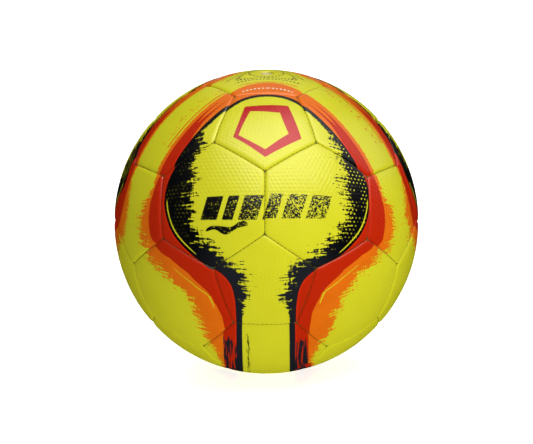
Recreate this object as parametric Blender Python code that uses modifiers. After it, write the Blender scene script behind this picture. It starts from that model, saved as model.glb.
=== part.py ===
"""Futsal ball: 32 stitched cover panels, their seam thread, a lining, a bladder and its valve.

The frame's origin is the ball's centre and +Z runs up the valve's axis, which is a three-fold axis of
the seam net: one hexagon is centred on the top and one on the bottom. -Y is the front, where two
pentagons stand one above the other. Run with: blender --background --python part.py
"""

import math

import bmesh
import bpy
from mathutils import Matrix, Vector

# Driving dimensions, in metres. A futsal ball measures 620 to 640 mm round.
BALL_RADIUS = 0.1000

# The cover: coated foam laminate, its edges turned in and sewn through.
COVER_THICKNESS = 0.0042
SHOULDER = 0.0016
SEAM_GAP = 0.0006
LIP_THICKNESS = 0.0018
LIP_DEPTH = 0.0022
PANEL_GRID = 3
CONTACT_FLAT_DEPTH = 0.0002

# The seam thread lies in the groove between the panels' shoulders.
THREAD_RADIUS = 0.00035
THREAD_DEPTH = 0.00095
THREAD_END_GAP = 0.0003

# The layers inside, from the cover inwards. Their neighbours stand one layer gap apart.
LAYER_GAP = 0.0004
LINING_THICKNESS = 0.0010
BLADDER_THICKNESS = 0.0010
PATCH_THICKNESS = 0.0008
SHELL_RINGS = 12
SHELL_STEPS = 24
FILL_RADIUS = 0.0600

# The valve, turned about the Z axis.
PANEL_HOLE_RADIUS = 0.0056
LAYER_HOLE_RADIUS = 0.0052
VALVE_NECK_RADIUS = 0.0046
VALVE_SINK = 0.0011
COLLAR_RADIUS = 0.0130
COLLAR_THICKNESS = 0.0012
STEM_RADIUS = 0.0038
STEM_LENGTH = 0.0240
SEAT_RADIUS = 0.0034
SEAT_DEPTH = 0.0022
BORE_RADIUS = 0.0026
BORE_LENGTH = 0.0210
PLUG_CLEARANCE = 0.0003
PLUG_HEAD_THICKNESS = 0.0016
PLUG_LENGTH = 0.0190
NEEDLE_HOLE_RADIUS = 0.0010
NEEDLE_HOLE_LENGTH = 0.0150
VALVE_STEPS = 24

# A truncated icosahedron's edge, from the radius of the sphere through its corners.
SEAM_LENGTH = 4 * BALL_RADIUS / math.sqrt(58 + 18 * math.sqrt(5))

# Sizes that follow from those above.
COVER_BACK = BALL_RADIUS - COVER_THICKNESS
LIP_END = COVER_BACK - LIP_DEPTH
LINING_RADIUS = LIP_END - LAYER_GAP
BLADDER_RADIUS = LINING_RADIUS - LINING_THICKNESS - LAYER_GAP
PATCH_RADIUS = BLADDER_RADIUS - BLADDER_THICKNESS - LAYER_GAP
COLLAR_TOP = PATCH_RADIUS - PATCH_THICKNESS - LAYER_GAP
VALVE_FACE = BALL_RADIUS - VALVE_SINK

YELLOW = (0.69, 0.68, 0.02)
THREAD_YELLOW = (0.52, 0.52, 0.04)
LINING_WHITE = (0.80, 0.78, 0.72)
BLADDER_BLACK = (0.03, 0.03, 0.03)
VALVE_BLACK = (0.02, 0.02, 0.02)
FILL_WHITE = (0.85, 0.85, 0.83)


def clear_scene():
    for obj in list(bpy.data.objects):
        bpy.data.objects.remove(obj, do_unlink=True)


def new_collection(name):
    collection = bpy.data.collections.new(name)
    bpy.context.scene.collection.children.link(collection)
    return collection


def material(name, colour, roughness):
    """A Principled material of one colour."""
    made = bpy.data.materials.new(name)
    made.use_nodes = True
    shader = made.node_tree.nodes["Principled BSDF"]
    shader.inputs["Base Color"].default_value = (*colour, 1)
    shader.inputs["Roughness"].default_value = roughness
    shader.inputs["Metallic"].default_value = 0
    return made


def add_object(name, mesh, collection, finish, place=None):
    """Puts a mesh into the ball, turned about the ball's centre by place."""
    obj = bpy.data.objects.new(name, mesh)
    if finish and not mesh.materials:
        mesh.materials.append(finish)
    if place:
        obj.matrix_world = place
    collection.objects.link(obj)
    return obj


def shade_round(mesh):
    mesh.shade_smooth()
    mesh.set_sharp_from_angle(angle=math.radians(30))
    return mesh


def mesh_from(bm, name):
    bmesh.ops.recalc_face_normals(bm, faces=bm.faces[:])
    mesh = bpy.data.meshes.new(name)
    bm.to_mesh(mesh)
    bm.free()
    return mesh


# The seam net -------------------------------------------------------------------------------------


def seam_net_places():
    """The frame of each panel, as (corner count, matrix), from the top panel down.

    An icosahedron with a face on top and a corner of that face at the front loses its corners at a
    third of each edge: its 12 corners become pentagons and its 20 faces hexagons. A matrix turns a
    panel made at +Z, with one corner over +Y, into its place.
    """
    bm = bmesh.new()
    bmesh.ops.create_icosphere(bm, subdivisions=1, radius=1)
    bm.faces.ensure_lookup_table()
    top = bm.faces[0]
    up = top.calc_center_median().rotation_difference(Vector((0, 0, 1)))
    bmesh.ops.rotate(bm, verts=bm.verts[:], matrix=up.to_matrix())
    corner = top.verts[0].co
    to_front = math.atan2(-1, 0) - math.atan2(corner.y, corner.x)
    bmesh.ops.rotate(bm, verts=bm.verts[:], matrix=Matrix.Rotation(to_front, 3, "Z"))
    bmesh.ops.bevel(
        bm,
        geom=bm.verts[:],
        offset=100 / 3,
        offset_type="PERCENT",
        segments=1,
        profile=0.5,
        affect="VERTICES",
    )
    places = []
    for face in bm.faces:
        outwards = face.calc_center_median().normalized()
        corner = face.verts[0].co
        over_y = (corner - corner.dot(outwards) * outwards).normalized()
        sideways = over_y.cross(outwards)
        turn = Matrix((sideways, over_y, outwards)).transposed()
        places.append((len(face.verts), turn.to_4x4()))
    bm.free()

    def from_the_top(place):
        outwards = place[1].col[2]
        height = round(outwards.z, 3)
        azimuth = math.degrees(math.atan2(outwards.x, -outwards.y))
        return (-height, round(azimuth % 360))

    return sorted(places, key=from_the_top)


def chord_points(start, end, count, radius):
    """Points along the straight line from start to end, moved out to a sphere."""
    return [start.lerp(end, i / count).normalized() * radius for i in range(count + 1)]


# The cover ----------------------------------------------------------------------------------------


def extrude_to(bm, faces, radius):
    """Extrudes the faces and moves the new ones' corners to this distance from the ball's centre."""
    edges = dict.fromkeys(edge for face in faces for edge in face.edges)
    verts = dict.fromkeys(vert for face in faces for vert in face.verts)
    made = bmesh.ops.extrude_face_region(bm, geom=[*faces, *edges, *verts])["geom"]
    for vert in (item for item in made if isinstance(item, bmesh.types.BMVert)):
        vert.co = vert.co.normalized() * radius
    return [item for item in made if isinstance(item, bmesh.types.BMFace)]


def panel_bmesh(corners):
    """A stitched panel at +Z: a piece of the sphere, backed, its shoulders eased, its edge turned in.

    Every layer of the panel is the outline scaled towards the ball's centre, so its walls face the
    centre and stay half a seam gap from the seam.
    """
    apothem = SEAM_LENGTH / (2 * math.tan(math.pi / corners))
    circumradius = SEAM_LENGTH / (2 * math.sin(math.pi / corners))
    height = math.sqrt(BALL_RADIUS**2 - circumradius**2)
    outline = (apothem - SEAM_GAP / 2) / math.cos(math.pi / corners)

    bm = bmesh.new()
    bmesh.ops.create_circle(bm, cap_ends=True, segments=corners, radius=outline)
    bmesh.ops.translate(bm, verts=bm.verts[:], vec=(0, 0, height))
    bmesh.ops.poke(bm, faces=bm.faces[:])
    bmesh.ops.subdivide_edges(bm, edges=bm.edges[:], cuts=PANEL_GRID - 1, use_grid_fill=True)
    for vert in bm.verts:
        vert.co = vert.co.normalized() * BALL_RADIUS

    back = extrude_to(bm, bm.faces[:], COVER_BACK)
    bmesh.ops.recalc_face_normals(bm, faces=bm.faces[:])
    ring = bmesh.ops.inset_region(bm, faces=back, thickness=LIP_THICKNESS, use_even_offset=True)
    extrude_to(bm, ring["faces"], LIP_END)

    rim = [edge for edge in bm.edges if is_outer_rim(edge)]
    bmesh.ops.bevel(bm, geom=rim, offset=SHOULDER, segments=1, profile=0.5, affect="EDGES")
    return bm


def is_outer_rim(edge):
    """Whether the edge lies on the ball's surface and on the panel's wall."""
    on_surface = all(vert.co.length > BALL_RADIUS - 1e-5 for vert in edge.verts)
    return on_surface and edge.calc_face_angle(0) > math.radians(45)


def flattened_panel(corners):
    """The panel that the ball rests on, which its weight flattens on a patch a few millimetres across.

    It is made at +Z like the others, and its place turns it to the bottom.
    """
    bm = panel_bmesh(corners)
    whole = bm.verts[:] + bm.edges[:] + bm.faces[:]
    cut = bmesh.ops.bisect_plane(
        bm,
        geom=whole,
        plane_co=(0, 0, BALL_RADIUS - CONTACT_FLAT_DEPTH),
        plane_no=(0, 0, 1),
        clear_outer=True,
    )
    loop = [item for item in cut["geom_cut"] if isinstance(item, bmesh.types.BMEdge)]
    bmesh.ops.edgeloop_fill(bm, edges=loop)
    return bm


def add_cutter(name, mesh, cutters):
    cutter = add_object(name, mesh, cutters, None)
    cutter.hide_render = True
    cutter.display_type = "WIRE"
    return cutter


def cut_valve_hole(panel, cutters):
    """Opens the top panel for the valve's neck."""
    bm = bmesh.new()
    bmesh.ops.create_cone(
        bm,
        cap_ends=True,
        segments=VALVE_STEPS,
        radius1=PANEL_HOLE_RADIUS,
        radius2=PANEL_HOLE_RADIUS,
        depth=4 * COVER_THICKNESS,
    )
    bmesh.ops.translate(bm, verts=bm.verts[:], vec=(0, 0, BALL_RADIUS))
    cutter = add_cutter("valve_hole_cutter", mesh_from(bm, "valve_hole_cutter"), cutters)
    hole = panel.modifiers.new("valve hole", "BOOLEAN")
    hole.operation = "DIFFERENCE"
    hole.solver = "EXACT"
    hole.object = cutter


def add_panels(ball, cutters, places):
    finish = material("coated cover", YELLOW, 0.42)
    meshes = {corners: mesh_from(panel_bmesh(corners), f"panel_{corners}") for corners in (5, 6)}
    resting = mesh_from(flattened_panel(6), "panel_6_flattened")
    kinds = {5: "pentagon_panel", 6: "hexagon_panel"}
    totals = {5: 12, 6: 20}
    count = {5: 0, 6: 0}
    for corners, place in places:
        count[corners] += 1
        is_top = corners == 6 and count[6] == 1
        is_bottom = corners == 6 and count[6] == totals[6]
        mesh = resting if is_bottom else meshes[corners]
        if is_top:
            mesh = mesh.copy()
        panel = add_object(f"{kinds[corners]}_{count[corners]:02d}", mesh, ball, finish, place)
        if is_top:
            cut_valve_hole(panel, cutters)


# The seam thread ----------------------------------------------------------------------------------


def thread_tube(name, points, cyclic, radius):
    """A thread along the points, as a mesh whose end caps are welded on."""
    curve = bpy.data.curves.new(name, "CURVE")
    curve.dimensions = "3D"
    curve.bevel_depth = radius
    curve.bevel_resolution = 0
    curve.use_fill_caps = True
    spline = curve.splines.new("POLY")
    spline.points.add(len(points) - 1)
    for place, point in zip(spline.points, points):
        place.co = (*point, 1)
    spline.use_cyclic_u = cyclic
    guide = bpy.data.objects.new(name, curve)
    bpy.context.scene.collection.objects.link(guide)
    bpy.context.view_layer.update()
    evaluated = guide.evaluated_get(bpy.context.evaluated_depsgraph_get())
    mesh = bpy.data.meshes.new_from_object(evaluated)
    bpy.data.objects.remove(guide)
    bm = bmesh.new()
    bm.from_mesh(mesh)
    bmesh.ops.remove_doubles(bm, verts=bm.verts[:], dist=1e-6)
    bpy.data.meshes.remove(mesh)
    return mesh_from(bm, name)


def thread_star(cutters):
    """The thread round one pentagon and half way along the five seams that leave its corners, at +Z."""
    radius = BALL_RADIUS - THREAD_DEPTH
    corner_polar = math.asin(SEAM_LENGTH / (2 * math.sin(math.pi / 5)) / BALL_RADIUS)
    seam_angle = 2 * math.asin(SEAM_LENGTH / 2 / BALL_RADIUS)

    def on_sphere(polar, azimuth):
        flat = math.sin(polar)
        return Vector((flat * math.cos(azimuth), flat * math.sin(azimuth), math.cos(polar)))

    azimuths = [math.pi / 2 + i * math.tau / 5 for i in range(5)]
    corners = [on_sphere(corner_polar, azimuth) for azimuth in azimuths]
    ring = []
    for i, corner in enumerate(corners):
        ring += chord_points(corner, corners[(i + 1) % 5], PANEL_GRID, radius)[:-1]
    star = add_cutter("seam_ring", thread_tube("seam_ring", ring, True, THREAD_RADIUS), cutters)
    for i, (azimuth, corner) in enumerate(zip(azimuths, corners)):
        far = on_sphere(corner_polar + seam_angle, azimuth)
        along = chord_points(corner, far, PANEL_GRID, radius)
        middle = (along[1] + along[2]) / 2
        back = (along[1] - middle).normalized() * THREAD_END_GAP / 2
        points = [along[0], along[1], middle + back]
        mesh = thread_tube(f"seam_spoke_{i}", points, False, THREAD_RADIUS * 0.96)
        spoke = add_cutter(f"seam_spoke_{i}", mesh, cutters)
        join = star.modifiers.new(f"join spoke {i}", "BOOLEAN")
        join.operation = "UNION"
        join.solver = "EXACT"
        join.object = spoke
    bpy.context.view_layer.update()
    evaluated = star.evaluated_get(bpy.context.evaluated_depsgraph_get())
    mesh = bpy.data.meshes.new_from_object(evaluated)
    mesh.name = "thread_star"
    return mesh


def add_threads(ball, cutters, places):
    finish = material("waxed polyester thread", THREAD_YELLOW, 0.6)
    mesh = thread_star(cutters)
    pentagons = [place for corners, place in places if corners == 5]
    for i, place in enumerate(pentagons):
        add_object(f"seam_thread_{i + 1:02d}", mesh, ball, finish, place)


# Turned pieces ------------------------------------------------------------------------------------


def turned(name, profile, ball, finish, steps, closed=False):
    """A solid of revolution about Z. The profile holds (radius, height) and runs down its outer side."""
    mesh = bpy.data.meshes.new(name)
    edges = [(i, i + 1) for i in range(len(profile) - 1)]
    if closed:
        edges.append((len(profile) - 1, 0))
    mesh.from_pydata([(radius, 0, height) for radius, height in profile], edges, [])
    obj = add_object(name, mesh, ball, finish)
    screw = obj.modifiers.new("turn", "SCREW")
    screw.steps = steps
    screw.render_steps = steps
    screw.use_merge_vertices = True
    screw.merge_threshold = 0.00001
    screw.use_smooth_shade = True
    return obj


def ring_angles():
    """Polar angles down a shell's side, from the edge of its valve hole to the bottom."""
    first = math.asin(LAYER_HOLE_RADIUS / LINING_RADIUS)
    return [first + (math.pi - first) * i / SHELL_RINGS for i in range(SHELL_RINGS + 1)]


def arc(radius, angles):
    """(radius, height) of points at these polar angles. The last stands on the axis if it is pi."""
    points = [(radius * math.sin(angle), radius * math.cos(angle)) for angle in angles]
    return [(max(flat, 0) if flat > 1e-9 else 0, height) for flat, height in points]


def shell_profile(radius, thickness, angles):
    """Up the inside of a layer to its rim, then down its outside."""
    return arc(radius - thickness, angles)[::-1] + arc(radius, angles)


def add_layers(ball):
    """The lining, the bladder and the two patches on it, each following the last at one layer gap."""
    cloth = material("woven lining", LINING_WHITE, 0.9)
    rubber = material("butyl rubber", BLADDER_BLACK, 0.6)
    angles = ring_angles()
    lining = shell_profile(LINING_RADIUS, LINING_THICKNESS, angles)
    turned("lining_carcass", lining, ball, cloth, SHELL_STEPS)
    bladder = shell_profile(BLADDER_RADIUS, BLADDER_THICKNESS, angles)
    turned("bladder", bladder, ball, rubber, SHELL_STEPS)
    patch = shell_profile(PATCH_RADIUS, PATCH_THICKNESS, angles[:2])
    turned("valve_patch", patch, ball, rubber, SHELL_STEPS, closed=True)
    weight = shell_profile(PATCH_RADIUS, 2 * PATCH_THICKNESS, angles[-2:])
    turned("balance_patch", weight, ball, rubber, SHELL_STEPS)


def add_fill(ball):
    """The soft wad inside the bladder that takes the bounce out of the ball."""
    bm = bmesh.new()
    bmesh.ops.create_icosphere(bm, subdivisions=3, radius=FILL_RADIUS)
    mesh = shade_round(mesh_from(bm, "damping_fill"))
    add_object("damping_fill", mesh, ball, material("fibre wad", FILL_WHITE, 0.95))


# The valve ----------------------------------------------------------------------------------------


def under_patch(radius, depth=0.0):
    """Height of the collar at this distance from the axis: it slopes as the patch over it does."""
    (inner, high), (outer, low) = arc(COLLAR_TOP, ring_angles()[:2])
    slope = (high - low) / (outer - inner)
    return high - slope * (radius - inner) - depth


def add_valve(ball):
    rubber = material("valve rubber", VALVE_BLACK, 0.5)
    seat = VALVE_FACE - SEAT_DEPTH
    stem_end = COLLAR_TOP - STEM_LENGTH
    body = [
        (0, VALVE_FACE - BORE_LENGTH),
        (BORE_RADIUS, VALVE_FACE - BORE_LENGTH),
        (BORE_RADIUS, seat),
        (SEAT_RADIUS, seat),
        (SEAT_RADIUS, VALVE_FACE),
        (VALVE_NECK_RADIUS, VALVE_FACE),
        (VALVE_NECK_RADIUS, under_patch(VALVE_NECK_RADIUS)),
        (COLLAR_RADIUS, under_patch(COLLAR_RADIUS)),
        (COLLAR_RADIUS, under_patch(COLLAR_RADIUS, COLLAR_THICKNESS)),
        (STEM_RADIUS, under_patch(STEM_RADIUS, COLLAR_THICKNESS)),
        (STEM_RADIUS, stem_end),
        (0, stem_end),
    ]
    turned("valve_body", body, ball, rubber, VALVE_STEPS)

    head = VALVE_FACE - PLUG_CLEARANCE
    neck = head - PLUG_HEAD_THICKNESS
    plug = [
        (0, head - NEEDLE_HOLE_LENGTH),
        (NEEDLE_HOLE_RADIUS, head - NEEDLE_HOLE_LENGTH),
        (NEEDLE_HOLE_RADIUS, head),
        (SEAT_RADIUS - PLUG_CLEARANCE, head),
        (SEAT_RADIUS - PLUG_CLEARANCE, neck),
        (BORE_RADIUS - PLUG_CLEARANCE, neck),
        (BORE_RADIUS - PLUG_CLEARANCE, head - PLUG_LENGTH),
        (0, head - PLUG_LENGTH),
    ]
    turned("valve_plug", plug, ball, rubber, VALVE_STEPS)


def main():
    clear_scene()
    ball = new_collection("futsal_ball")
    cutters = new_collection("cutters")
    places = seam_net_places()
    add_panels(ball, cutters, places)
    add_threads(ball, cutters, places)
    add_layers(ball)
    add_fill(ball)
    add_valve(ball)


main()
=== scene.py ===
import math

import bpy
import numpy as np
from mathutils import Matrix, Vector


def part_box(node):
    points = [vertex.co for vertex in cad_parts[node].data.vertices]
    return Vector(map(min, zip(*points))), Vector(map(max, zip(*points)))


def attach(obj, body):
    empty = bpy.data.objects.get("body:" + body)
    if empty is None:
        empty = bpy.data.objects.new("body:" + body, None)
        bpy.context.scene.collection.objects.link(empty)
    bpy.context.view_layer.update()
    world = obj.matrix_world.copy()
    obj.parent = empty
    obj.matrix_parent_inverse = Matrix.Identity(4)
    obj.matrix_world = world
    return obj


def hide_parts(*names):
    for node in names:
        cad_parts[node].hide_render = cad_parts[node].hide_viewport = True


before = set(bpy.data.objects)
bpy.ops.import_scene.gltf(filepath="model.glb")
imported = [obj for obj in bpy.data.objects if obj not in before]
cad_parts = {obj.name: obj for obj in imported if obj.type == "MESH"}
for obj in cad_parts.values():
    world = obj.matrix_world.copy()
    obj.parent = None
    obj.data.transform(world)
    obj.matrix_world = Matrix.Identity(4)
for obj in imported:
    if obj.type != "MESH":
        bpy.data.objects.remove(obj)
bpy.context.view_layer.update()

# Lengths are in mm here and in the dictionaries below. They turn to metres where a mesh is written.
mm = 0.001
golden = (1 + math.sqrt(5)) / 2
tip = math.atan2(golden, 2 * golden + 1)  # from the front seam's middle up to the level, in radians


def nodePoints(name):
    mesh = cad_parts[name].data
    places = np.empty(len(mesh.vertices) * 3, np.float32)
    mesh.vertices.foreach_get("co", places)
    return places.reshape(-1, 3).astype(float) / mm


def unit(vectors):
    return vectors / np.linalg.norm(vectors, axis=-1, keepdims=True)


def turn(points, angle, axis):
    # Right-handed turn of row vectors about the X axis (0) or the Z axis (2).
    c, s = math.cos(angle), math.sin(angle)
    a, b = (axis + 1) % 3, (axis + 2) % 3
    turned = points.copy()
    turned[..., a] = c * points[..., a] - s * points[..., b]
    turned[..., b] = s * points[..., a] + c * points[..., b]
    return turned


ballRadius = float(np.linalg.norm(nodePoints("pentagon_panel_01"), axis=1).max())
floorLevel = float(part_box("hexagon_panel_20")[0].z) / mm
print("ball radius", round(ballRadius, 2), "mm, floor at", round(floorLevel, 2), "mm")


# The seam net: an icosahedron with a face on top, cut at a third of each edge. It comes as the panels'
# corners, as unit vectors.
def seamNet():
    s, t = (side.ravel() for side in np.meshgrid([-1.0, 1.0], [-1.0, 1.0]))
    none, wide = np.zeros(4), golden * s
    ways = ((none, wide, t), (t, none, wide), (wide, t, none))
    corners = turn(np.concatenate([np.stack(axes, 1) for axes in ways]), -tip, 0)
    near = np.linalg.norm(corners[:, None] - corners[None], axis=2) < 2.1  # its edges are 2 long
    np.fill_diagonal(near, False)
    third = unit((2 * corners[:, None] + corners[None]) / 3)
    panels = [third[i][near[i]] for i in range(12)]
    for i in range(12):
        for j in range(i + 1, 12):
            for k in range(j + 1, 12):
                if near[i, j] and near[j, k] and near[i, k]:
                    pairs = [(i, j), (j, i), (j, k), (k, j), (i, k), (k, i)]
                    panels.append(np.array([third[pair] for pair in pairs]))
    return [cornersInTurn(panel) for panel in panels]


def cornersInTurn(corners):
    # Corners in order round the panel, anticlockwise from outside.
    out = unit(corners.mean(axis=0))
    up = unit(corners[0] - corners[0] @ out * out)
    right = np.cross(up, out)
    order = np.argsort(np.arctan2(corners @ up, corners @ right))
    return corners[order]


net = seamNet()


def cornersOf(node):
    # The panel of the net that this CAD node stands on.
    way = unit(nodePoints(node).mean(axis=0))
    sides = 5 if node.startswith("pentagon") else 6
    alike = (panel for panel in net if len(panel) == sides)
    return max(alike, key=lambda panel: unit(panel.mean(axis=0)) @ way)


# The print: the same bulb and neck three times round the ball. Across is 0 on the black line's outer
# edge and grows outwards; along runs from the bulb's top down its side and down the neck.
printed = {
    # (sideways, up) from the bulb's middle, down the right-hand side of the black line's outer edge
    "outline": [(-12.4, 81.2), (0, 83.2), (12.4, 81.2), (24, 74.8), (37.7, 62.5), (49.6, 49.6), (59.9, 36),
                (67.7, 20.8), (70.6, 6.3), (69.1, -6.3), (64.8, -18.3), (56.9, -28.5), (41.7, -40.8),
                (29, -47.2), (22.7, -53.8), (19.9, -62.8), (18.8, -76.8), (18.8, -105), (18.8, -140),
                (18.8, -166), (18.8, -193.5), (18.8, -205)],
    # (along, width or place) of each ink, in knots joined by straight stretches
    "byLength": {
        "blackWidth": [(0, 2.5), (30, 2.6), (50, 3.2), (56, 4.8), (63, 8), (72, 12.5), (84, 18), (96, 19.6),
                       (110, 18.6), (122, 16.4), (132, 14), (148, 12.5), (160, 11.5), (174, 10), (186, 9),
                       (194, 5), (204, 3.6), (340, 3.4)],
        "blackRag": [(0, 0), (48, 0.3), (56, 3.5), (64, 4.5), (80, 5.5), (120, 4.6), (150, 4.2), (186, 4),
                     (196, 1), (206, 0), (340, 0)],
        "redStart": [(0, 5), (26, 4), (47, 3), (58, 1), (63, -1), (340, -1)],
        "redWidth": [(0, -1), (22, 4), (30, 8.4), (48, 9), (90, 9), (100, 11), (110, 16), (119, 18.6),
                     (127, 16), (133, 13.3), (148, 11.8), (156, 13.5), (166, 17), (176, 17.2), (188, 15),
                     (200, 10.8), (214, 9), (340, 9)],
        "redGap": [(0, 2), (26, 1.9), (40, 1.2), (54, -0.5), (340, -1)],
        "orangeWidth": [(0, 16.4), (8, 15.6), (17, 13), (26, 12), (95, 12), (101, 16), (107, 24), (118, 27.8),
                        (130, 25.5), (142, 23), (152, 26.5), (163, 33), (177, 34), (190, 32.2), (204, 27.5),
                        (222, 23), (236, 16), (256, 11), (340, 9)],
        "orangeRag": [(0, 0), (92, 0.5), (100, 3), (110, 4.5), (145, 3.6), (160, 4.4), (190, 4.4), (215, 3.8),
                      (236, 3), (260, 1.5), (340, 1.5)],
        "crescentPlace": [(0, 14), (128, 18.4), (140, 16.4), (152, 15.8), (173, 19.2), (194, 15.5),
                          (340, 15)],
        "crescentWidth": [(0, -1), (130, -0.6), (140, 0.2), (165, 0.35), (180, 0.55), (192, 0.3),
                          (198, -0.6), (340, -1)],
        "blackCrescent": [(0, -1), (98, -0.5), (104, 0.45), (130, 0.5), (144, 0.3), (148, -0.5), (340, -1)],
        "charred": [(0, -1), (208, -1), (218, 0.1), (225, 0.32), (340, 0.42)],
        "topDashes": [(0, 1), (13, 1), (14, 0), (340, 0)],
    },
    "shift": 1.4,  # the whole print stands this far to the right of the seams
    "looseness": 0.65,  # how far a panel's print strays from its neighbours'
    "fillet": 14,  # how softly two motifs' bands run into each other
    "leftLine": (21, 73),  # the stretch along which a red hairline runs, on the left only
}


def curveThrough(knots, steps):
    # Catmull-Rom: on each stretch a cubic that leaves and meets its knots along their neighbours' chord.
    a, b, c, d = (knots[i:len(knots) - 3 + i][:, None] for i in range(4))
    t = np.linspace(0, 1, steps, endpoint=False)[None, :, None]
    cubic = 2 * b + (c - a) * t + (2 * a - 5 * b + 4 * c - d) * t**2 + (3 * b - a - 3 * c + d) * t**3
    return (cubic / 2).reshape(-1, knots.shape[1])


def onSphere(sideways, up):
    # A point this far sideways from the motif's middle plane and this far up it, round the ball.
    across, over = sideways / ballRadius, up / ballRadius
    return np.stack([np.sin(across), -np.cos(across) * np.cos(over), np.cos(across) * np.sin(over)], -1)


def outlineFrame():
    # Points down the outline on the unit ball, with their length from the top, tangents and outward normals.
    flat = curveThrough(np.array(printed["outline"], float), 22)
    places = onSphere(flat[:, 0], flat[:, 1])
    steps = np.arccos(np.clip((places[1:] * places[:-1]).sum(1), -1, 1)) * ballRadius
    along = np.concatenate([[0], np.cumsum(steps)])
    tangent = unit(np.gradient(places, axis=0))
    outwards = unit(np.cross(tangent, places))
    return places, along, tangent, outwards * np.sign(outwards[0, 2])


outlinePlaces, outlineAlong, outlineTangent, outlineOut = outlineFrame()


def motifPlace(ways, k):
    # Unit vectors as the k-th motif sees them: its middle at -Y, its top towards +Z.
    return turn(turn(ways, -k * math.tau / 3, 2), tip, 0)


def bandFields(ways):
    # Along, across and side of the nearest motif. Along and across come from the nearest point of the
    # outline, corrected along its tangent and its outward normal.
    found = []
    for k in range(3):
        place = motifPlace(ways, k)
        place = unit(place - np.array([printed["shift"] / ballRadius, 0, 0]))
        sideways = np.arcsin(np.clip(place[:, 0], -1, 1)) * ballRadius
        up = np.arctan2(place[:, 2], -place[:, 1]) * ballRadius
        side = np.sign(place[:, 0])
        place[:, 0] = np.abs(place[:, 0])
        nearest = np.concatenate([
            (part.astype(np.float32) @ outlinePlaces.T.astype(np.float32)).argmax(axis=1)
            for part in np.array_split(place, max(1, len(place) // 40000))
        ])
        offset = (place - outlinePlaces[nearest]) * ballRadius
        along = (offset * outlineTangent[nearest]).sum(1)
        across = (offset * outlineOut[nearest]).sum(1)
        past = (nearest == len(outlinePlaces) - 1) & (along > 0)
        across = np.where(past, np.hypot(along, np.maximum(across, 0)), across)
        found.append(np.stack([across, outlineAlong[nearest] + along, side * (k + 1), sideways, up], 1))
    found = np.stack(found)
    order = np.argsort(found[:, :, 0], axis=0)
    best, other = (np.take_along_axis(found, order[i][None, :, None], 0)[0] for i in (0, 1))
    blend = np.maximum(printed["fillet"] - (other[:, 0] - best[:, 0]), 0) / printed["fillet"]
    return best[:, 1], best[:, 0] - blend**2 * printed["fillet"] / 4, best[:, 2], best[:, 3:]


def alongBand(name, along):
    # A width or place that changes along the band, by straight lines between its knots.
    knots = np.array(printed["byLength"][name], float)
    return np.interp(along, knots[:, 0], knots[:, 1])


# The marks that the print carries on each bulb: a brushed ring, a row of slanted bars and a brush stroke.
marks = {
    "ringMiddle": (-1.5, 52.5),
    "ringSize": 16,
    "ringWidth": (1.5, 3.8),
    "barsLeft": -43.5,
    "barsWidths": (11, 7, 12, 8, 12, 13),
    "barGap": 3.4,
    "barsUp": (-10, 5.6),
    "barSlant": 0.3,
    "strokeFrom": (-40, -17.5),
    "strokeTo": (-12, -13.5),
    "strokeWidth": 2.7,
    "strokeSway": 1.6,
    "wearFrom": -46,  # the bars wear more and more from here, over this far to the right
    "wearOver": 60,
}


def markFields(ways):
    # How far each place is outside the red mark and outside the black marks, in mm, and how worn it is.
    red = np.full(len(ways), 99.0)
    black = np.full(len(ways), 99.0)
    wear = np.zeros(len(ways))
    for k in range(3):
        place = motifPlace(ways, k)
        facing = place[:, 1] < -0.5
        x = np.arcsin(np.clip(place[:, 0], -1, 1)) * ballRadius - printed["shift"]
        y = np.arctan2(place[:, 2], -place[:, 1]) * ballRadius
        # A five-sided ring with one corner down, drawn with a flat brush whose width follows its direction.
        u, v = x - marks["ringMiddle"][0], y - marks["ringMiddle"][1]
        angle = np.arctan2(u, -v)
        part = math.tau / 5
        across = np.cos(np.mod(angle, part) - part / 2)
        thin, thick = marks["ringWidth"]
        width = thin + (thick - thin) * np.sin(angle / 2 + 0.6) ** 2
        ring = np.abs(np.hypot(u, v) * across - marks["ringSize"]) - width
        red = np.where(facing, np.minimum(red, ring), red)
        # Bars of several widths in a row, all leaning the same way.
        low, high = marks["barsUp"]
        lean = x - marks["barSlant"] * (y - low)
        left = marks["barsLeft"]
        bars = np.full(len(x), 99.0)
        for wide in marks["barsWidths"]:
            past = np.abs(lean - left - wide / 2) - wide / 2
            above = np.abs(y - (low + high) / 2) - (high - low) / 2
            bars = np.minimum(bars, np.maximum(past, above))
            left += wide + marks["barGap"]
        # A stroke that swells and thins as it goes.
        (x0, y0), (x1, y1) = marks["strokeFrom"], marks["strokeTo"]
        t = (x - x0) / (x1 - x0)
        path = y0 + (y1 - y0) * t + marks["strokeSway"] * np.sin(t * 9)
        swell = np.sqrt(np.clip(t * (1.05 - t) * 3.4, 0, 1)) * (0.8 + 0.2 * np.cos(t * 14))
        body = marks["strokeWidth"] * swell
        stroke = np.where((t > 0) & (t < 1), np.abs(y - path) - body, 99.0)
        black = np.where(facing, np.minimum(black, np.minimum(bars, stroke)), black)
        worn = np.clip((x - marks["wearFrom"]) / marks["wearOver"], 0, 1)
        wear = np.where(facing & (np.abs(x) < 50), worn, wear)
    return red, black, wear


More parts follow.
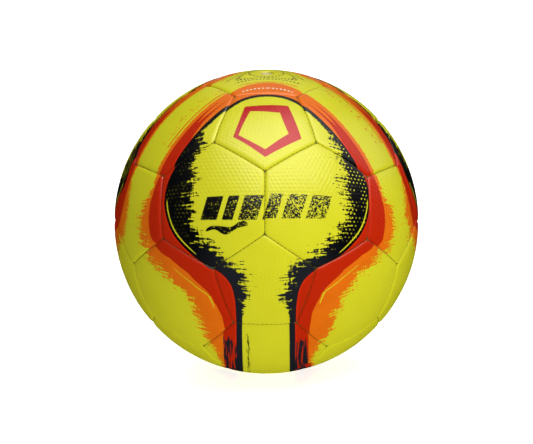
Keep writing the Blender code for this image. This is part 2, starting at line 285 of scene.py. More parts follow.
# The cover's panels, stitched together through their turned-in edges.
cover = {
    "seamGap": 0.16,
    "shoulder": 2.6,
    "seamDepth": 1.1,
    "cornerRadius": 1.9,
    "cornerSlope": 0.9,
    "thickness": 4.2,
    "backBevel": (0.35, 0.1),
    "crown": 0.22,
    "crownReach": 7,
    "ripple": 0.05,
    "dotPitch": 3.0,
    "dotHeight": 0.1,
    "dotsFade": (1.2, 3.7),  # from the rim, where the dots and the ripple start and where they are full
    "stitchesPerSeam": 14,
    "pinch": 0.05,
    "pinchReach": 0.9,
    "rings": 58,
    "stepsPerSeam": 70,
    "holeRadius": 4.95,
    "holeShoulder": 0.6,
    "holeWall": 1.2,
}
backShares = [1, 0.994, 0.985, 0.9, 0.6, 0.25]  # rings down the wall and below, as shares of the rim
nearlyRound = 0.998  # a full quarter round would end in an upright step
latticeAngles = (math.pi / 6, math.pi / 2, 5 * math.pi / 6)


def hexLattice(x, y, pitch):
    # Three cosines at 60 degrees add up to round tops one pitch apart, from 0 to 1.
    wave = math.tau / (pitch * math.cos(math.pi / 6))
    total = sum(np.cos(wave * (x * math.cos(a) + y * math.sin(a))) for a in latticeAngles)
    return (total + 1.5) / 4.5


def ripple(ways, seed):
    # A few long sine waves in random directions, from -1 to 1 or so.
    draw = np.random.default_rng(seed)
    waves = draw.normal(size=(9, 3)) * 9
    return np.sin(ways @ waves.T + draw.uniform(0, math.tau, 9)).mean(axis=1) * 1.8


def panelSurface(corners, seed, hole=0.0):
    # Rings of the panel's outline scaled towards its middle, then projected on the ball, dropped by a
    # quarter round at the seam, carried down the wall and back underneath. Two parameters: the ring
    # and the step round it. The radius is the ball's, less the drop and the crown, plus dots and ripple.
    sides = len(corners)
    out = unit(corners.mean(axis=0))
    level = float(corners[0] @ out) * ballRadius
    up = unit(corners[0] - corners[0] @ out * out)
    right = np.cross(up, out)
    flat = np.stack([corners @ right, corners @ up], 1) * ballRadius
    apothem = np.linalg.norm((flat[0] + flat[1]) / 2)
    per = cover["stepsPerSeam"]
    t = (np.arange(per) / per)[None, :, None]
    rim = (flat[:, None] * (1 - t) + np.roll(flat, -1, axis=0)[:, None] * t).reshape(-1, 2)
    rim *= 1 - cover["seamGap"] / 2 / apothem
    step = np.arange(sides * per) / per

    x = np.linspace(0, 1, cover["rings"] + 1)[1:]
    reach = 1.3 * x - 0.3 * x**3  # rings crowd towards the rim
    back = np.array(backShares)
    if hole:
        angle = np.arctan2(rim[:, 1], rim[:, 0])
        inner = np.stack([np.cos(angle), np.sin(angle)], 1) * hole
        reach = np.concatenate([[0, 0], 1.25 * x - 0.25 * x**3])
        back = np.array([*backShares, 0])
    else:
        inner = np.zeros_like(rim)
    share = np.concatenate([reach, back])[:, None, None]
    places = inner[None] * (1 - share) + rim[None] * share

    normals = unit((flat + np.roll(flat, -1, axis=0)) / 2)
    inside = (apothem - cover["seamGap"] / 2) - places @ normals.T
    near = np.maximum(cover["cornerRadius"] - inside, 0)
    cornered = cover["cornerRadius"] - np.sqrt((near**2).sum(-1))
    rimDistance = np.where(near.max(axis=-1) > 0, cornered, inside.min(axis=-1))
    shoulder = cover["shoulder"]
    short = np.clip(1 - rimDistance / shoulder, 0, 1)
    drop = cover["seamDepth"] * (1 - np.sqrt(1 - short**2 * nearlyRound))
    drop += np.maximum(-rimDistance, 0) * cover["cornerSlope"]
    pinch = (0.5 + 0.5 * np.cos(math.tau * (step * cover["stitchesPerSeam"] - 0.5))) ** 4
    drop += cover["pinch"] * pinch[None] * np.exp(-np.maximum(rimDistance, 0) / cover["pinchReach"])
    if hole:
        fromHole = np.linalg.norm(places, axis=-1) - hole
        bend = np.clip(1 - fromHole / cover["holeShoulder"], 0, 1)
        drop += cover["holeShoulder"] * (1 - np.sqrt(1 - bend**2 * nearlyRound))

    ways = unit(places[..., :1] * right + places[..., 1:] * up + level * out)
    scale = ballRadius / level
    dots = hexLattice(places[..., 0] * scale, places[..., 1] * scale, cover["dotPitch"]) ** 1.5
    begin, full = cover["dotsFade"]
    shown = np.clip((rimDistance - begin) / (full - begin), 0, 1)
    radius = ballRadius - drop - cover["crown"] * np.exp(-np.maximum(rimDistance, 0) / cover["crownReach"])
    radius += cover["dotHeight"] * dots * shown
    radius += cover["ripple"] * ripple(ways.reshape(-1, 3), seed).reshape(radius.shape) * shown
    below = ballRadius - cover["thickness"]
    radius[-len(back):] = below
    radius[-len(back)] += cover["backBevel"][0]
    radius[1 - len(back)] += cover["backBevel"][1]
    if hole:
        radius[0] = below + cover["holeWall"]
    solid = ways * radius[..., None]
    fields = {"ways": ways, "rimDistance": rimDistance, "flat": places * scale,
              "pinch": np.broadcast_to(pinch, rimDistance.shape)}
    return solid, fields, out


def gridFaces(rows, columns, closedRows):
    # Quads of a grid whose columns wrap round, and whose rows do too if closedRows is set.
    i, j = np.meshgrid(np.arange(rows if closedRows else rows - 1), np.arange(columns), indexing="ij")
    down, beside = (i + 1) % rows, (j + 1) % columns
    corners = (i * columns + j, down * columns + j, down * columns + beside, i * columns + beside)
    return np.stack(corners, -1).reshape(-1, 4)


def meshFrom(name, points, quads, triangles=None):
    # Points are in mm. Quads and triangles are arrays of point numbers.
    mesh = bpy.data.meshes.new(name)
    triangles = np.zeros((0, 3), int) if triangles is None else triangles
    loops = np.concatenate([quads.ravel(), triangles.ravel()])
    starts = np.concatenate([np.arange(len(quads)) * 4, len(quads) * 4 + np.arange(len(triangles)) * 3])
    mesh.vertices.add(len(points))
    mesh.vertices.foreach_set("co", (points * mm).astype(np.float32).ravel())
    mesh.loops.add(len(loops))
    mesh.loops.foreach_set("vertex_index", loops.astype(np.int32))
    mesh.polygons.add(len(starts))
    mesh.polygons.foreach_set("loop_start", starts.astype(np.int32))
    mesh.update(calc_edges=True)
    mesh.validate()
    mesh.shade_smooth()
    return mesh


def addField(mesh, name, *columns):
    # Up to three numbers for each point, for the material to read.
    table = np.zeros((len(columns[0]), 3), np.float32)
    table[:, :len(columns)] = np.stack(columns, 1)
    mesh.attributes.new(name, "FLOAT_VECTOR", "POINT").data.foreach_set("vector", table.ravel())


def addPiece(name, mesh, material, nodes):
    piece = bpy.data.objects.new(name, mesh)
    bpy.context.scene.collection.objects.link(piece)
    mesh.materials.append(material)
    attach(piece, "root")
    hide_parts(*nodes)
    return piece


def addPanel(node, seed, material, hole):
    corners = cornersOf(node)
    solid, fields, out = panelSurface(corners, seed, hole)
    rows, columns = solid.shape[:2]
    quads = gridFaces(rows, columns, bool(hole))
    points = solid.reshape(-1, 3)
    values = {key: grid.reshape(rows * columns, -1) for key, grid in fields.items()}
    triangles = None
    if not hole:
        first, last = len(points), len(points) + 1
        column = np.arange(columns)
        beside = (column + 1) % columns
        front = np.stack([np.full(columns, first), column, beside], 1)
        base = (rows - 1) * columns
        rear = np.stack([np.full(columns, last), base + beside, base + column], 1)
        triangles = np.concatenate([front, rear])
        heights = [np.linalg.norm(solid[row, 0]) for row in (0, -1)]
        points = np.concatenate([points, [out * heights[0], out * heights[1]]])
        values = {key: np.concatenate([v, v[:1], v[-1:]]) for key, v in values.items()}
    points[:, 2] = np.maximum(points[:, 2], floorLevel)
    mesh = meshFrom(node, points, quads, triangles)

    # Each panel's print is cut a little out of place. Only the top panel has print round the valve.
    draw = np.random.default_rng(seed)
    stray = draw.normal(size=3) * printed["looseness"] / ballRadius
    ways = unit(values["ways"] + stray - (values["ways"] @ stray)[:, None] * values["ways"])
    along, across, side, motif = bandFields(ways)
    red, black, wear = markFields(ways)
    ink = {name: alongBand(name, along) for name in printed["byLength"]}
    begin, end = printed["leftLine"]
    leftLine = np.where((side < 0) & (along > begin) & (along < end), 0.5, -1.0)
    split = np.maximum(ink["redStart"] - across, across - ink["redWidth"])
    fromValve = np.arccos(np.clip(values["ways"][:, 2], -1, 1)) * ballRadius
    fromValve = np.where(node == "hexagon_panel_01", fromValve, 99.0)
    addField(mesh, "band", along, across, side)
    addField(mesh, "motif", motif[:, 0], motif[:, 1], side)
    addField(mesh, "edges", across - ink["orangeWidth"], split, -across - ink["blackWidth"])
    addField(mesh, "rags", ink["orangeRag"], ink["blackRag"], ink["charred"])
    addField(mesh, "lines", across - ink["crescentPlace"], ink["crescentWidth"], ink["blackCrescent"])
    addField(mesh, "moreLines", ink["redGap"], leftLine, ink["topDashes"])
    addField(mesh, "marks", red, black, wear)
    addField(mesh, "seam", values["rimDistance"][:, 0], values["pinch"][:, 0], fromValve)
    addField(mesh, "flat", *values["flat"].T)
    return addPiece(f"cover_{node}", mesh, material, [node])


# Materials ride on each piece's own fields or on Object coordinates.
def put(tree, kind, *inputs, named=None, **settings):
    # Adds a node. Inputs go to its open sockets in turn, or by name. A node or a socket is linked.
    made = tree.nodes.new("ShaderNode" + kind)
    for key, value in settings.items():
        setattr(made, key, value)
    pairs = list(zip([s for s in made.inputs if s.enabled], inputs))
    pairs += [(made.inputs[key], value) for key, value in (named or {}).items()]
    for socket, value in pairs:
        if isinstance(value, bpy.types.Node):
            value = next(s for s in value.outputs if s.enabled)
        if isinstance(value, bpy.types.NodeSocket):
            tree.links.new(value, socket)
        elif value is not None:
            socket.default_value = value
    return made


def linear(code):
    # sRGB hex to linear: the low part is a straight line, the rest a power of 2.4.
    levels = [int(code[i:i + 2], 16) / 255 for i in (1, 3, 5)]
    return [v / 12.92 if v <= 0.04045 else ((v + 0.055) / 1.055) ** 2.4 for v in levels] + [1.0]


def newMaterial(name):
    material = bpy.data.materials.new(name)
    material.use_nodes = True
    tree = material.node_tree
    tree.nodes.clear()
    return material, tree


def finishMaterial(tree, colour, roughness, bump=None, **constants):
    shader = put(tree, "BsdfPrincipled", named={"Base Color": colour, "Roughness": roughness})
    for key, value in constants.items():
        shader.inputs[key.replace("_", " ")].default_value = value
    if bump is not None:
        tree.links.new(bump.outputs["Normal"], shader.inputs["Normal"])
    put(tree, "OutputMaterial", shader)


# Coated polyurethane: a soft microfibre sheet under a tough printed film. It has a semi-gloss sheen that
# spreads highlights widely, flat saturated inks, and a fine leather grain.
inks = {
    "yellow": "#dad826",
    "yellowDeep": "#d2cf20",
    "orange": "#ee760a",
    "orangeDeep": "#db6608",
    "orangeTip": "#dc4a08",
    "red": "#be2401",
    "redRim": "#da2c02",
    "black": "#050608",
    # slate: black ink lightened by a painted reflection of the bright floor
    "slateAndFloorReflection": "#1e2127",
    "mark": "#b40404",
    "white": "#e8e8da",
    # dark olive: the painted shade in the seams, and the ink of the dark dashes
    "seamShadeAndDashInk": "#4a4a10",
    "roughness": (0.28, 0.34),
    "edgeSoftness": 0.25,
    "dotsFade": (1.2, 3.5),
    # The field that each brush lies on, the width and height of its marks, how far its left and right
    # sides differ, its detail and its roughness.
    "brushes": {
        "level": ("motif", (11, 1.35), 7.3, 2.0, 0.6),
        "upright": ("motif", (1.5, 9), 7.3, 2.0, 0.6),
        "speck": ("motif", (1.6, 1.4), 7.3, 2.0, 0.6),
        "patch": ("motif", (14, 14), 7.3, 2.0, 0.6),
        "flake": ("band", (2.6, 0.9), 5.1, 1.0, 0.5),
        "streak": ("band", (26, 1.5), 3.1, 1.0, 0.5),
        "dribble": ("band", (5.2, 0.3), 15.5, 1.0, 0.5),
    },
    "tearing": {"level": 6.4, "upright": 2.8, "speck": 2.0, "patch": 2.0},  # how far in each tears an edge
    # The size of each texture on the whole ball, its detail and its roughness. The real grain is about
    # half as large, too fine to show.
    "textures": {"mottle": (16.6667, 3.0, 0.5), "wearing": (1.1111, 2.0, 0.7), "grain": (0.6, 2.0, 0.5)},
    # Where each thin line runs across the band, and half its width. A 0 leaves the width to the fields.
    "thinLines": {
        "redGap": (6.2, 0), "inBlack": (-2.2, 0), "hair": (14.0, 0), "flecks": (19.2, 0),
        "dribbles": (-7.2, 0), "thinRed": (17.4, 0.35), "paleDashes": (8.6, 0.5),
        "darkDashes": (22.4, 0.6), "farDashes": (25.0, 0.55), "valveDashes": (11.4, 0.6),
    },
    "dashPitch": {"paleDashes": 2.1, "darkDashes": 1.5, "farDashes": 1.3, "valveDashes": 2.6},
}


def sheetMaterial():
    material, tree = newMaterial("coatedPolyurethane")
    names = ("band", "motif", "edges", "rags", "lines", "moreLines", "marks", "seam", "flat")
    fields = {name: put(tree, "Attribute", attribute_name=name).outputs["Vector"] for name in names}
    parts = {name: put(tree, "SeparateXYZ", field).outputs for name, field in fields.items()}
    along, across = parts["band"][0], parts["band"][1]
    sideways, upwards = parts["motif"][0], parts["motif"][1]
    flatX, flatY = parts["flat"][0], parts["flat"][1]
    orangeOut, redOut, blackOut = parts["edges"]
    orangeRag, blackRag, char = parts["rags"]
    crescentAway, crescentWidth, blackCrescent = parts["lines"]
    redGap, leftLine, topDashes = parts["moreLines"]
    redMark, blackMark, wearShare = parts["marks"]
    rimDistance, pinch, fromValve = parts["seam"]

    # Bristle marks lie level, with a few upright ones across them. Specks and patches are round.
    noises = {}
    for name, (field, (wide, tall), apart, detail, rough) in inks["brushes"].items():
        place = put(tree, "VectorMath", fields[field], (1 / wide, 1 / tall, apart), operation="MULTIPLY")
        noises[name] = put(tree, "TexNoise", named={
            "Vector": place, "Scale": 1.0, "Detail": detail, "Roughness": rough})
    wholeBall = put(tree, "TexCoord").outputs["Object"]
    for name, (size, detail, rough) in inks["textures"].items():
        noises[name] = put(tree, "TexNoise", named={
            "Vector": wholeBall, "Scale": 1 / (size * mm), "Detail": detail, "Roughness": rough})
    torn = 0.0
    for name, share in inks["tearing"].items():
        level = put(tree, "Math", noises[name], -0.5, operation="ADD")
        torn = put(tree, "Math", level, share, torn, operation="MULTIPLY_ADD")

    # The embossed dots: three cosines on the panel's own flat coordinates, fading out at the seams.
    wave = math.tau / (cover["dotPitch"] * math.cos(math.pi / 6))
    total = 0.0
    for angle in latticeAngles:
        rise = put(tree, "Math", flatY, wave * math.sin(angle), operation="MULTIPLY")
        phase = put(tree, "Math", flatX, wave * math.cos(angle), rise, operation="MULTIPLY_ADD")
        total = put(tree, "Math", put(tree, "Math", phase, operation="COSINE"), total, operation="ADD")
    dots = put(tree, "MapRange", total, 0.4, 2.6, 0.0, 1.0, interpolation_type="SMOOTHSTEP")
    fade = put(tree, "MapRange", rimDistance, *inks["dotsFade"], 0.0, 1.0)
    dots = put(tree, "Math", dots, fade, operation="MULTIPLY")

    # How far each place is outside each thin line, in mm.
    beyond = {}
    for name, (place, halfWidth) in inks["thinLines"].items():
        start = fromValve if name == "valveDashes" else across
        away = put(tree, "Math", put(tree, "Math", start, -place, operation="ADD"), operation="ABSOLUTE")
        beyond[name] = put(tree, "Math", away, -halfWidth, operation="ADD")

    # A pale crescent in the black and one in the orange, a red hairline with flecks beside it, and a
    # broken line of black dribbles.
    gap = put(tree, "Math", redGap, beyond["redGap"], operation="SUBTRACT")
    paleBlack = put(tree, "Math", beyond["inBlack"], blackCrescent, operation="SUBTRACT")
    paleOrange = put(tree, "Math", crescentAway, operation="ABSOLUTE")
    paleOrange = put(tree, "Math", paleOrange, crescentWidth, operation="SUBTRACT")
    hair = put(tree, "Math", beyond["hair"], leftLine, operation="SUBTRACT")
    fleckRow = put(tree, "Math", leftLine, -5.0, beyond["flecks"], operation="MULTIPLY_ADD")
    fleck = put(tree, "Math", noises["flake"], -12.0, 12 * 0.64, operation="MULTIPLY_ADD")
    fleck = put(tree, "Math", fleckRow, fleck, operation="MAXIMUM")
    dribbleWidth = put(tree, "Math", noises["dribble"], 6.0, -6 * 0.4608, operation="MULTIPLY_ADD")
    orangeEdge = put(tree, "Math", torn, orangeRag, orangeOut, operation="MULTIPLY_ADD")
    orangeInner = put(tree, "Math", -1.0, across, operation="SUBTRACT")
    blackEdge = put(tree, "Math", torn, blackRag, blackOut, operation="MULTIPLY_ADD")
    blackInner = put(tree, "Math", across, -0.25, operation="ADD")

    # Each mask is 1 inside its outline and soft at the edge.
    distances = {
        "orange": put(tree, "Math", orangeEdge, orangeInner, operation="MAXIMUM"),
        "red": put(tree, "Math", redOut, gap, operation="MAXIMUM"),
        "black": put(tree, "Math", blackEdge, blackInner, operation="MAXIMUM"),
        "pale": put(tree, "Math", paleBlack, paleOrange, operation="MINIMUM"),
        "hairline": put(tree, "Math", hair, fleck, operation="MINIMUM"),
        "markBlack": blackMark,
        "markRed": redMark,
        **{name: beyond[name] for name in inks["dashPitch"]},
        "dribbles": put(tree, "Math", beyond["dribbles"], dribbleWidth, operation="SUBTRACT"),
        "thinRed": beyond["thinRed"],
    }
    slope = -1 / inks["edgeSoftness"]
    masks = {
        name: put(tree, "Math", away, slope, 0.5, operation="MULTIPLY_ADD", use_clamp=True)
        for name, away in distances.items()
    }

    # Small print is plain dashes: pale in the orange, dark above it, and a ring round the valve.
    roundValve = put(tree, "Math", flatX, flatY, operation="ARCTAN2")
    roundValve = put(tree, "Math", roundValve, inks["thinLines"]["valveDashes"][0], operation="MULTIPLY")
    for name, pitch in inks["dashPitch"].items():
        run = roundValve if name == "valveDashes" else along
        beat = put(tree, "Math", run, math.tau / pitch, operation="MULTIPLY")
        beat = put(tree, "Math", beat, operation="SINE")
        beat = put(tree, "Math", beat, 3.0, 0.75, operation="MULTIPLY_ADD", use_clamp=True)
        masks[name] = put(tree, "Math", masks[name], beat, operation="MULTIPLY")

    # Thin ink misses the tops of the dots, as a halftone. The printed marks wear through in speckles.
    missed = put(tree, "Math", dots, 5.0, -5 * 0.66, operation="MULTIPLY_ADD", use_clamp=True)
    missed = put(tree, "Math", missed, blackRag, operation="MULTIPLY")
    for source, span in (
        (noises["patch"], (0.42, 0.56, 0.0, 0.4)),
        (sideways, (20.0, 45.0, 0.08, 1.0)),
        (upwards, (-28.0, -8.0, 0.0, 1.0)),
    ):
        missed = put(tree, "Math", missed, put(tree, "MapRange", source, *span), operation="MULTIPLY")
    worn = put(tree, "Math", wearShare, 0.17, noises["wearing"], operation="MULTIPLY_ADD")
    worn = put(tree, "Math", worn, 30.0, -30 * 0.67, operation="MULTIPLY_ADD", use_clamp=True)
    for name, share in (
        ("black", put(tree, "Math", 1.0, missed, operation="SUBTRACT", use_clamp=True)),
        ("markBlack", put(tree, "Math", 1.0, worn, operation="SUBTRACT")),
        ("paleDashes", topDashes), ("darkDashes", topDashes),
        ("farDashes", topDashes), ("thinRed", topDashes),
        ("dribbles", put(tree, "MapRange", along, 212.0, 216.0, 0.0, 1.0)),
        ("dribbles", put(tree, "MapRange", sideways, 2.0, -2.0, 0.0, 1.0)),
    ):
        masks[name] = put(tree, "Math", masks[name], share, operation="MULTIPLY")

    # The red is brighter at its rim and turns dark down the neck, with red streaks left along it; that dark
    # is slate, black with a painted reflection of the bright floor. The orange deepens at its tips, and low
    # down the black is lightened to slate by the same painted reflection.
    rim = put(tree, "Math", across, -1.1, 1.6, operation="MULTIPLY_ADD", use_clamp=True)
    charred = put(tree, "Math", noises["streak"], char, operation="ADD")
    charred = put(tree, "Math", charred, 18.0, -18 * 0.78, operation="MULTIPLY_ADD", use_clamp=True)
    tips = put(tree, "Math", orangeEdge, 0.9, 1.1, operation="MULTIPLY_ADD", use_clamp=True)
    tips = put(tree, "Math", tips, put(tree, "MapRange", along, 92.0, 110.0, 0.0, 0.7), operation="MULTIPLY")
    # painted reflection: the black grows lighter down the neck, low on the ball, where the floor would shine
    # in it
    paintedFloorReflection = put(tree, "MapRange", along, 140.0, 168.0, 0.0, 0.9)
    shades = {name: linear(inks[name]) for name in ("orange", "red", "black")}
    shades["yellow"] = linear(inks["yellowDeep"])
    for name, share, other in (
        ("yellow", noises["mottle"], "yellow"), ("orange", noises["patch"], "orangeDeep"),
        ("orange", tips, "orangeTip"), ("red", rim, "redRim"), ("red", charred, "slateAndFloorReflection"),
        ("black", paintedFloorReflection, "slateAndFloorReflection"),
    ):
        shades[name] = put(tree, "Mix", share, shades[name], linear(inks[other]), data_type="RGBA")

    # Painted shade darkens the seam crease, most at the stitch holes.
    nearStitch = put(tree, "Math", pinch, 0.05, 0.09, operation="MULTIPLY_ADD")
    paintedSeamShade = put(tree, "Math", nearStitch, rimDistance, operation="SUBTRACT")
    paintedSeamShade = put(tree, "Math", paintedSeamShade, 3.0, operation="MULTIPLY", use_clamp=True)
    masks["paintedSeamShade"] = put(tree, "Math", paintedSeamShade, 0.85, operation="MULTIPLY")
    colour = shades["yellow"]
    for name, ink in {
        "orange": shades["orange"], "red": shades["red"], "black": shades["black"], "pale": shades["yellow"],
        "hairline": linear(inks["redRim"]), "markBlack": linear(inks["black"]),
        "markRed": linear(inks["mark"]), "paleDashes": linear(inks["white"]),
        "darkDashes": linear(inks["seamShadeAndDashInk"]), "farDashes": linear(inks["seamShadeAndDashInk"]),
        "valveDashes": linear(inks["seamShadeAndDashInk"]), "dribbles": linear(inks["black"]),
        "thinRed": linear(inks["redRim"]), "paintedSeamShade": linear(inks["seamShadeAndDashInk"]),
    }.items():
        colour = put(tree, "Mix", masks[name], colour, ink, data_type="RGBA")

    roughness = put(tree, "MapRange", noises["mottle"], 0.3, 0.7, *inks["roughness"])
    height = put(tree, "Math", dots, 0.8, noises["grain"], operation="MULTIPLY_ADD")
    bump = put(tree, "Bump", named={"Height": height, "Strength": 0.6, "Distance": 0.09 * mm})
    finishMaterial(tree, colour, roughness, bump, IOR=1.5, Specular_IOR_Level=0.5)
    return material


# Polyester cord: twisted, waxed and a little shiny. Its dull olive colour is a painted reflection of the
# yellow film around it.
def threadMaterial():
    material, tree = newMaterial("waxedPolyesterCord")
    place = put(tree, "TexCoord").outputs["Object"]
    fibre = put(tree, "TexNoise", named={"Vector": place, "Scale": 2600.0, "Detail": 2.0})
    # dull olive: painted reflection of the yellow film round the cord
    colour = put(tree, "Mix", fibre, linear("#44440f"), linear("#6c6b22"), data_type="RGBA")
    bump = put(tree, "Bump", named={"Height": fibre, "Strength": 0.5, "Distance": 0.0001})
    finishMaterial(tree, colour, 0.6, bump, IOR=1.5, Sheen_Weight=0.1)
    return material


# Moulded rubber: dull, with a faint bloom. It is buff at the valve and nearly black inside.
def rubberMaterial(name, dark, light, roughness):
    material, tree = newMaterial(name)
    place = put(tree, "TexCoord").outputs["Object"]
    bloom = put(tree, "TexNoise", named={"Vector": place, "Scale": 220.0, "Detail": 4.0})
    colour = put(tree, "Mix", bloom, linear(dark), linear(light), data_type="RGBA")
    skin = put(tree, "TexNoise", named={"Vector": place, "Scale": 3500.0, "Detail": 2.0})
    bump = put(tree, "Bump", named={"Height": skin, "Strength": 0.35, "Distance": 0.00005})
    finishMaterial(tree, colour, roughness, bump, IOR=1.52)
    return material


# Woven cloth: plain-weave polyester, off-white, its two sets of yarns crossing every few millimetres.
def clothMaterial(name, dark, light, yarns):
    material, tree = newMaterial(name)
    place = put(tree, "TexCoord").outputs["Object"]
    yarn = {"Vector": place, "Scale": yarns, "Distortion": 0.6}
    warp, weft = (put(tree, "TexWave", named=yarn, bands_direction=way).outputs["Fac"] for way in "XZ")
    weave = put(tree, "Math", warp, weft, operation="MULTIPLY")
    colour = put(tree, "Mix", weave, linear(dark), linear(light), data_type="RGBA")
    bump = put(tree, "Bump", named={"Height": weave, "Strength": 0.6, "Distance": 0.0002})
    finishMaterial(tree, colour, 0.85, bump, IOR=1.5, Sheen_Weight=0.2)
    return material


sheet = sheetMaterial()
panelNodes = sorted(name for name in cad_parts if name.startswith(("hexagon", "pentagon")))
for seed, node in enumerate(panelNodes):
    addPanel(node, seed + 11, sheet, cover["holeRadius"] if node == "hexagon_panel_01" else 0.0)
print("cover:", len(panelNodes), "panels")


# The seam thread: two strands crossing under each stitch, sunk between the panels.
thread = {
    "radius": 0.26,
    "sides": 6,
    "stepsPerStitch": 6,
    "depth": 1.5,
    "dip": 0.2,
    "sway": 0.2,
    "inset": 0.012,  # share of a seam's length left free at each end
}


def tubes(paths, radius, sides):
    # Circles carried along many paths at once: centre + radius (cos a, sin a) across the path.
    ahead = unit(np.gradient(paths, axis=1))
    beside = unit(np.cross(ahead, unit(paths)))
    over = np.cross(beside, ahead)
    angle = np.arange(sides) / sides * math.tau
    ring = np.cos(angle)[:, None] * beside[:, :, None] + np.sin(angle)[:, None] * over[:, :, None]
    points = paths[:, :, None] + ring * radius
    count, steps = paths.shape[:2]
    quads = gridFaces(steps, sides, False)[None] + (np.arange(count) * steps * sides)[:, None, None]
    beyond = (np.arange(sides - 2) + 2) % sides
    fan = np.stack([np.zeros(sides - 2, int), beyond - 1, beyond], 1)
    last = fan[:, ::-1] + (steps - 1) * sides
    caps = np.concatenate([fan, last])[None] + (np.arange(count) * steps * sides)[:, None, None]
    return points.reshape(-1, 3), quads.reshape(-1, 4), caps.reshape(-1, 3)


def addThread(node, material):
    # A pentagon's five seams and the near half of the five seams that leave its corners. Each strand
    # sways beside the seam by a sine and dips by a cosine of twice that angle.
    corners = cornersOf(node.replace("seam_thread", "pentagon_panel"))
    out = unit(corners.mean(axis=0))
    runs = [(corners[i], corners[(i + 1) % 5], cover["stitchesPerSeam"]) for i in range(5)]
    half = math.atan(2) / 2
    spoke = unit(corners - (corners @ out)[:, None] * out)
    middles = math.cos(half) * out + math.sin(half) * spoke
    runs += [(corners[i], middles[i], cover["stitchesPerSeam"] / 2) for i in range(5)]
    made = [[], [], []]
    count = 0
    for start, end, stitches in runs:
        steps = int(stitches * thread["stepsPerStitch"]) + 1
        t = np.linspace(thread["inset"], 1 - thread["inset"], steps)[:, None]
        way = unit(start * (1 - t) + end * t)
        beside = unit(np.cross(end - start, start))
        phase = math.pi * t * stitches
        depth = thread["depth"] + thread["dip"] * np.cos(2 * phase)
        sway = thread["sway"] * np.sin(phase) * beside
        strands = np.stack([way * (ballRadius - depth) - sway, way * (ballRadius - depth) + sway])
        points, quads, caps = tubes(strands, thread["radius"], thread["sides"])
        made[0].append(points)
        made[1].append(quads + count)
        made[2].append(caps + count)
        count += len(points)
    points, quads, caps = (np.concatenate(part) for part in made)
    addPiece(f"stitches_{node}", meshFrom(node, points, quads, caps), material, [node])


cord = threadMaterial()
threadNodes = sorted(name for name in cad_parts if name.startswith("seam_thread"))
for node in threadNodes:
    addThread(node, cord)
print("stitching:", len(threadNodes), "threads")


# The valve: a rubber body with a rounded lip, and a plug with a needle dimple in its head.
valve = {"steps": 72, "lipRadius": 0.5, "dimple": 1.1, "dimpleDepth": 0.8}


def turned(profile, steps):
    # A profile of (radius, height) points carried round the Z axis. It starts and ends on the axis.
    angle = np.arange(steps) / steps * math.tau
    ring = profile[1:-1]
    points = np.stack([ring[:, :1] * np.cos(angle), ring[:, :1] * np.sin(angle), ring[:, 1:] + 0 * angle], -1)
    rows = len(ring)
    quads = gridFaces(rows, steps, False)
    first, last = rows * steps, rows * steps + 1
    column = np.arange(steps)
    beside = (column + 1) % steps
    top = np.stack([np.full(steps, first), column, beside], 1)
    low = np.stack([np.full(steps, last), (rows - 1) * steps + beside, (rows - 1) * steps + column], 1)
    ends = [[0, 0, profile[0, 1]], [0, 0, profile[-1, 1]]]
    return np.concatenate([points.reshape(-1, 3), ends]), quads, np.concatenate([top, low])


def rounded(profile, radius, steps=5):
    # Each corner of the profile is replaced with a parabola that touches both sides.
    before, after = profile[:-2], profile[2:]
    corner = profile[1:-1]
    reachBefore = np.minimum(radius / np.linalg.norm(before - corner, axis=1), 0.48)[:, None]
    reachAfter = np.minimum(radius / np.linalg.norm(after - corner, axis=1), 0.48)[:, None]
    a = corner + (before - corner) * reachBefore
    b = corner + (after - corner) * reachAfter
    t = np.linspace(0, 1, steps)[None, :, None]
    arcs = a[:, None] * (1 - t) ** 2 + 2 * corner[:, None] * t * (1 - t) + b[:, None] * t**2
    return np.concatenate([profile[:1], arcs.reshape(-1, 2), profile[-1:]])


def addTurned(node, profile, material):
    smooth = rounded(np.array(profile, float), valve["lipRadius"])
    addPiece(f"moulded_{node}", meshFrom(node, *turned(smooth, valve["steps"])), material, [node])


bodyFace = float(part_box("valve_body")[1].z) / mm
bodyEnd = float(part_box("valve_body")[0].z) / mm
collar = nodePoints("valve_body")
collarRadius = float(np.hypot(collar[:, 0], collar[:, 1]).max())
collarLow = float(collar[np.hypot(collar[:, 0], collar[:, 1]) > collarRadius - 0.1, 2].min())
plugFace = float(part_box("valve_plug")[1].z) / mm
plugEnd = float(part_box("valve_plug")[0].z) / mm
valveRubber = rubberMaterial("mouldedNaturalRubber", "#b9a77a", "#cdbd92", 0.5)
plugRubber = rubberMaterial("softSiliconeRubber", "#cfc2b4", "#e2d8cc", 0.45)
addTurned("valve_body", [
    (0, bodyFace - 21), (2.6, bodyFace - 21), (2.6, bodyFace - 2.2), (3.4, bodyFace - 2.2), (3.4, bodyFace),
    (4.6, bodyFace), (4.6, collarLow + 2.2), (collarRadius, collarLow + 1.2), (collarRadius, collarLow),
    (3.8, collarLow + 0.4), (3.8, bodyEnd), (0, bodyEnd),
], valveRubber)
addTurned("valve_plug", [
    (0, plugFace - 15), (0.7, plugFace - 15), (0.7, plugFace - valve["dimpleDepth"]),
    (valve["dimple"], plugFace), (3.1, plugFace), (3.1, plugFace - 1.6), (2.3, plugFace - 1.6),
    (2.3, plugEnd), (0, plugEnd),
], plugRubber)


# Inside: the carcass, the bladder, its patches and the fill keep their own shapes.
carcassCloth = clothMaterial("wovenPolyester", "#b9b4a4", "#e6e2d4", 160)
bladderRubber = rubberMaterial("latexRubber", "#2a2622", "#3a352f", 0.5)
patchRubber = rubberMaterial("vulcanisedRubber", "#1f1d1b", "#33302c", 0.6)
fillFibre = clothMaterial("bondedFibreFill", "#c9c4b6", "#f0ece0", 90)
inside = {"lining_carcass": carcassCloth, "bladder": bladderRubber, "valve_patch": patchRubber,
          "balance_patch": patchRubber, "damping_fill": fillFibre}
for name, material in inside.items():
    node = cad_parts[name]
    for place in node.material_slots:
        place.material = material
    if not node.material_slots:
        node.data.materials.append(material)
print("inside:", len(inside), "layers with their own materials")


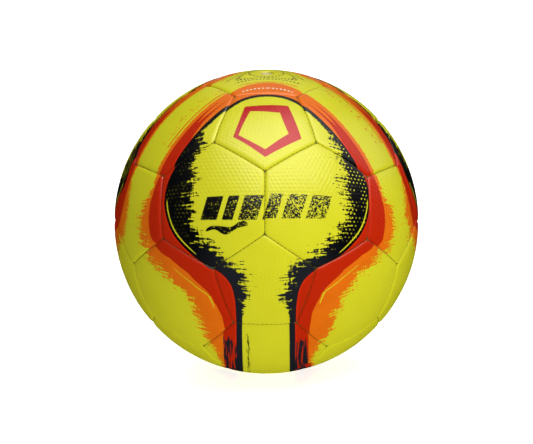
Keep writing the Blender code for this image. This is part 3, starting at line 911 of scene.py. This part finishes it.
# The studio: a white floor, a soft key high on the right, a low one in front, one behind for the rim, and
# one below for the light that the floor sends back up.
studio = {
    "floorSize": 8000,
    "floorColour": "#f4f4f2",
    "floorGlow": 0.78,
    "surround": 0.15,
    # azimuth and elevation in degrees, distance and width in metres, power in watts
    "lamps": {"key": (33, 64, 2.4, 1.7, 38), "front": (22, 6, 2.4, 1.6, 25), "back": (212, 42, 2.4, 1.6, 32),
              "bounce": (0, -90, 0.35, 5.0, 58)},
    # softboxes that only show as highlights
    "softboxes": {"glare": (24, 67, 2.4, 2.8, 100), "side": (115, 32, 2.4, 1.5, 6),
                  "behind": (180, 42, 2.4, 1.6, 3)},
    "camera": (0.64, 13.93, 1.964),
    "lens": 201.5,
    "aim": (0.08, 0, -0.26),
}


def direction(azimuth, elevation):
    a, e = math.radians(azimuth), math.radians(elevation)
    return Vector((math.sin(a) * math.cos(e), -math.cos(a) * math.cos(e), math.sin(e)))


half = studio["floorSize"] / 2
ends = ((-half, -half), (half, -half), (half, half), (-half, half))
floorCorners = np.array([[x, y, floorLevel] for x, y in ends])
floorMesh = meshFrom("floor", floorCorners, np.array([[0, 1, 2, 3]]))
floor = bpy.data.objects.new("floor", floorMesh)
bpy.context.scene.collection.objects.link(floor)
floor.visible_glossy = False
floor.visible_diffuse = False  # the lamp "bounce", below it, stands for the light that it sends back up
floor.visible_shadow = False
paper, tree = newMaterial("whitePaperSweep")
put(tree, "OutputMaterial", put(tree, "BsdfPrincipled", named={
    "Base Color": linear(studio["floorColour"]), "Roughness": 0.9,
    "Emission Color": linear("#ffffff"), "Emission Strength": studio["floorGlow"],
}))
floorMesh.materials.append(paper)

world = bpy.data.worlds.new("studio")
world.use_nodes = True
world.node_tree.nodes.clear()
air, sky = (
    put(world.node_tree, "Background", named={"Color": (1, 1, 1, 1), "Strength": strength})
    for strength in (studio["surround"], 1.0)
)
put(world.node_tree, "OutputWorld", put(world.node_tree, "MixShader",
                                        put(world.node_tree, "LightPath").outputs["Is Camera Ray"], air, sky))
bpy.context.scene.world = world
world.cycles_visibility.glossy = False

for name, (azimuth, elevation, distance, width, power) in (studio["lamps"] | studio["softboxes"]).items():
    lamp = bpy.data.lights.new(name, "AREA")
    lamp.size = width
    lamp.energy = power
    lamp.cycles.use_multiple_importance_sampling = name in studio["softboxes"]
    lit = bpy.data.objects.new(name, lamp)
    lit.location = direction(azimuth, elevation) * distance
    lit.rotation_euler = direction(azimuth, elevation).to_track_quat("Z", "Y").to_euler()
    lit.visible_glossy = name in studio["softboxes"]
    lit.visible_diffuse = name in studio["lamps"]
    lit.visible_camera = False
    bpy.context.scene.collection.objects.link(lit)

azimuth, elevation, distance = studio["camera"]
lens = bpy.data.cameras.new("camera")
lens.lens = studio["lens"]
lens.sensor_width = 36
camera = bpy.data.objects.new("camera", lens)
way = direction(azimuth, elevation)
camera.location = way * distance + Vector(studio["aim"]) * mm
camera.rotation_mode = "QUATERNION"
camera.rotation_quaternion = way.to_track_quat("Z", "Y")
bpy.context.scene.collection.objects.link(camera)
bpy.context.scene.camera = camera
bpy.context.scene.view_settings.view_transform = "Standard"
print("studio: floor, surround, lamps and the camera")
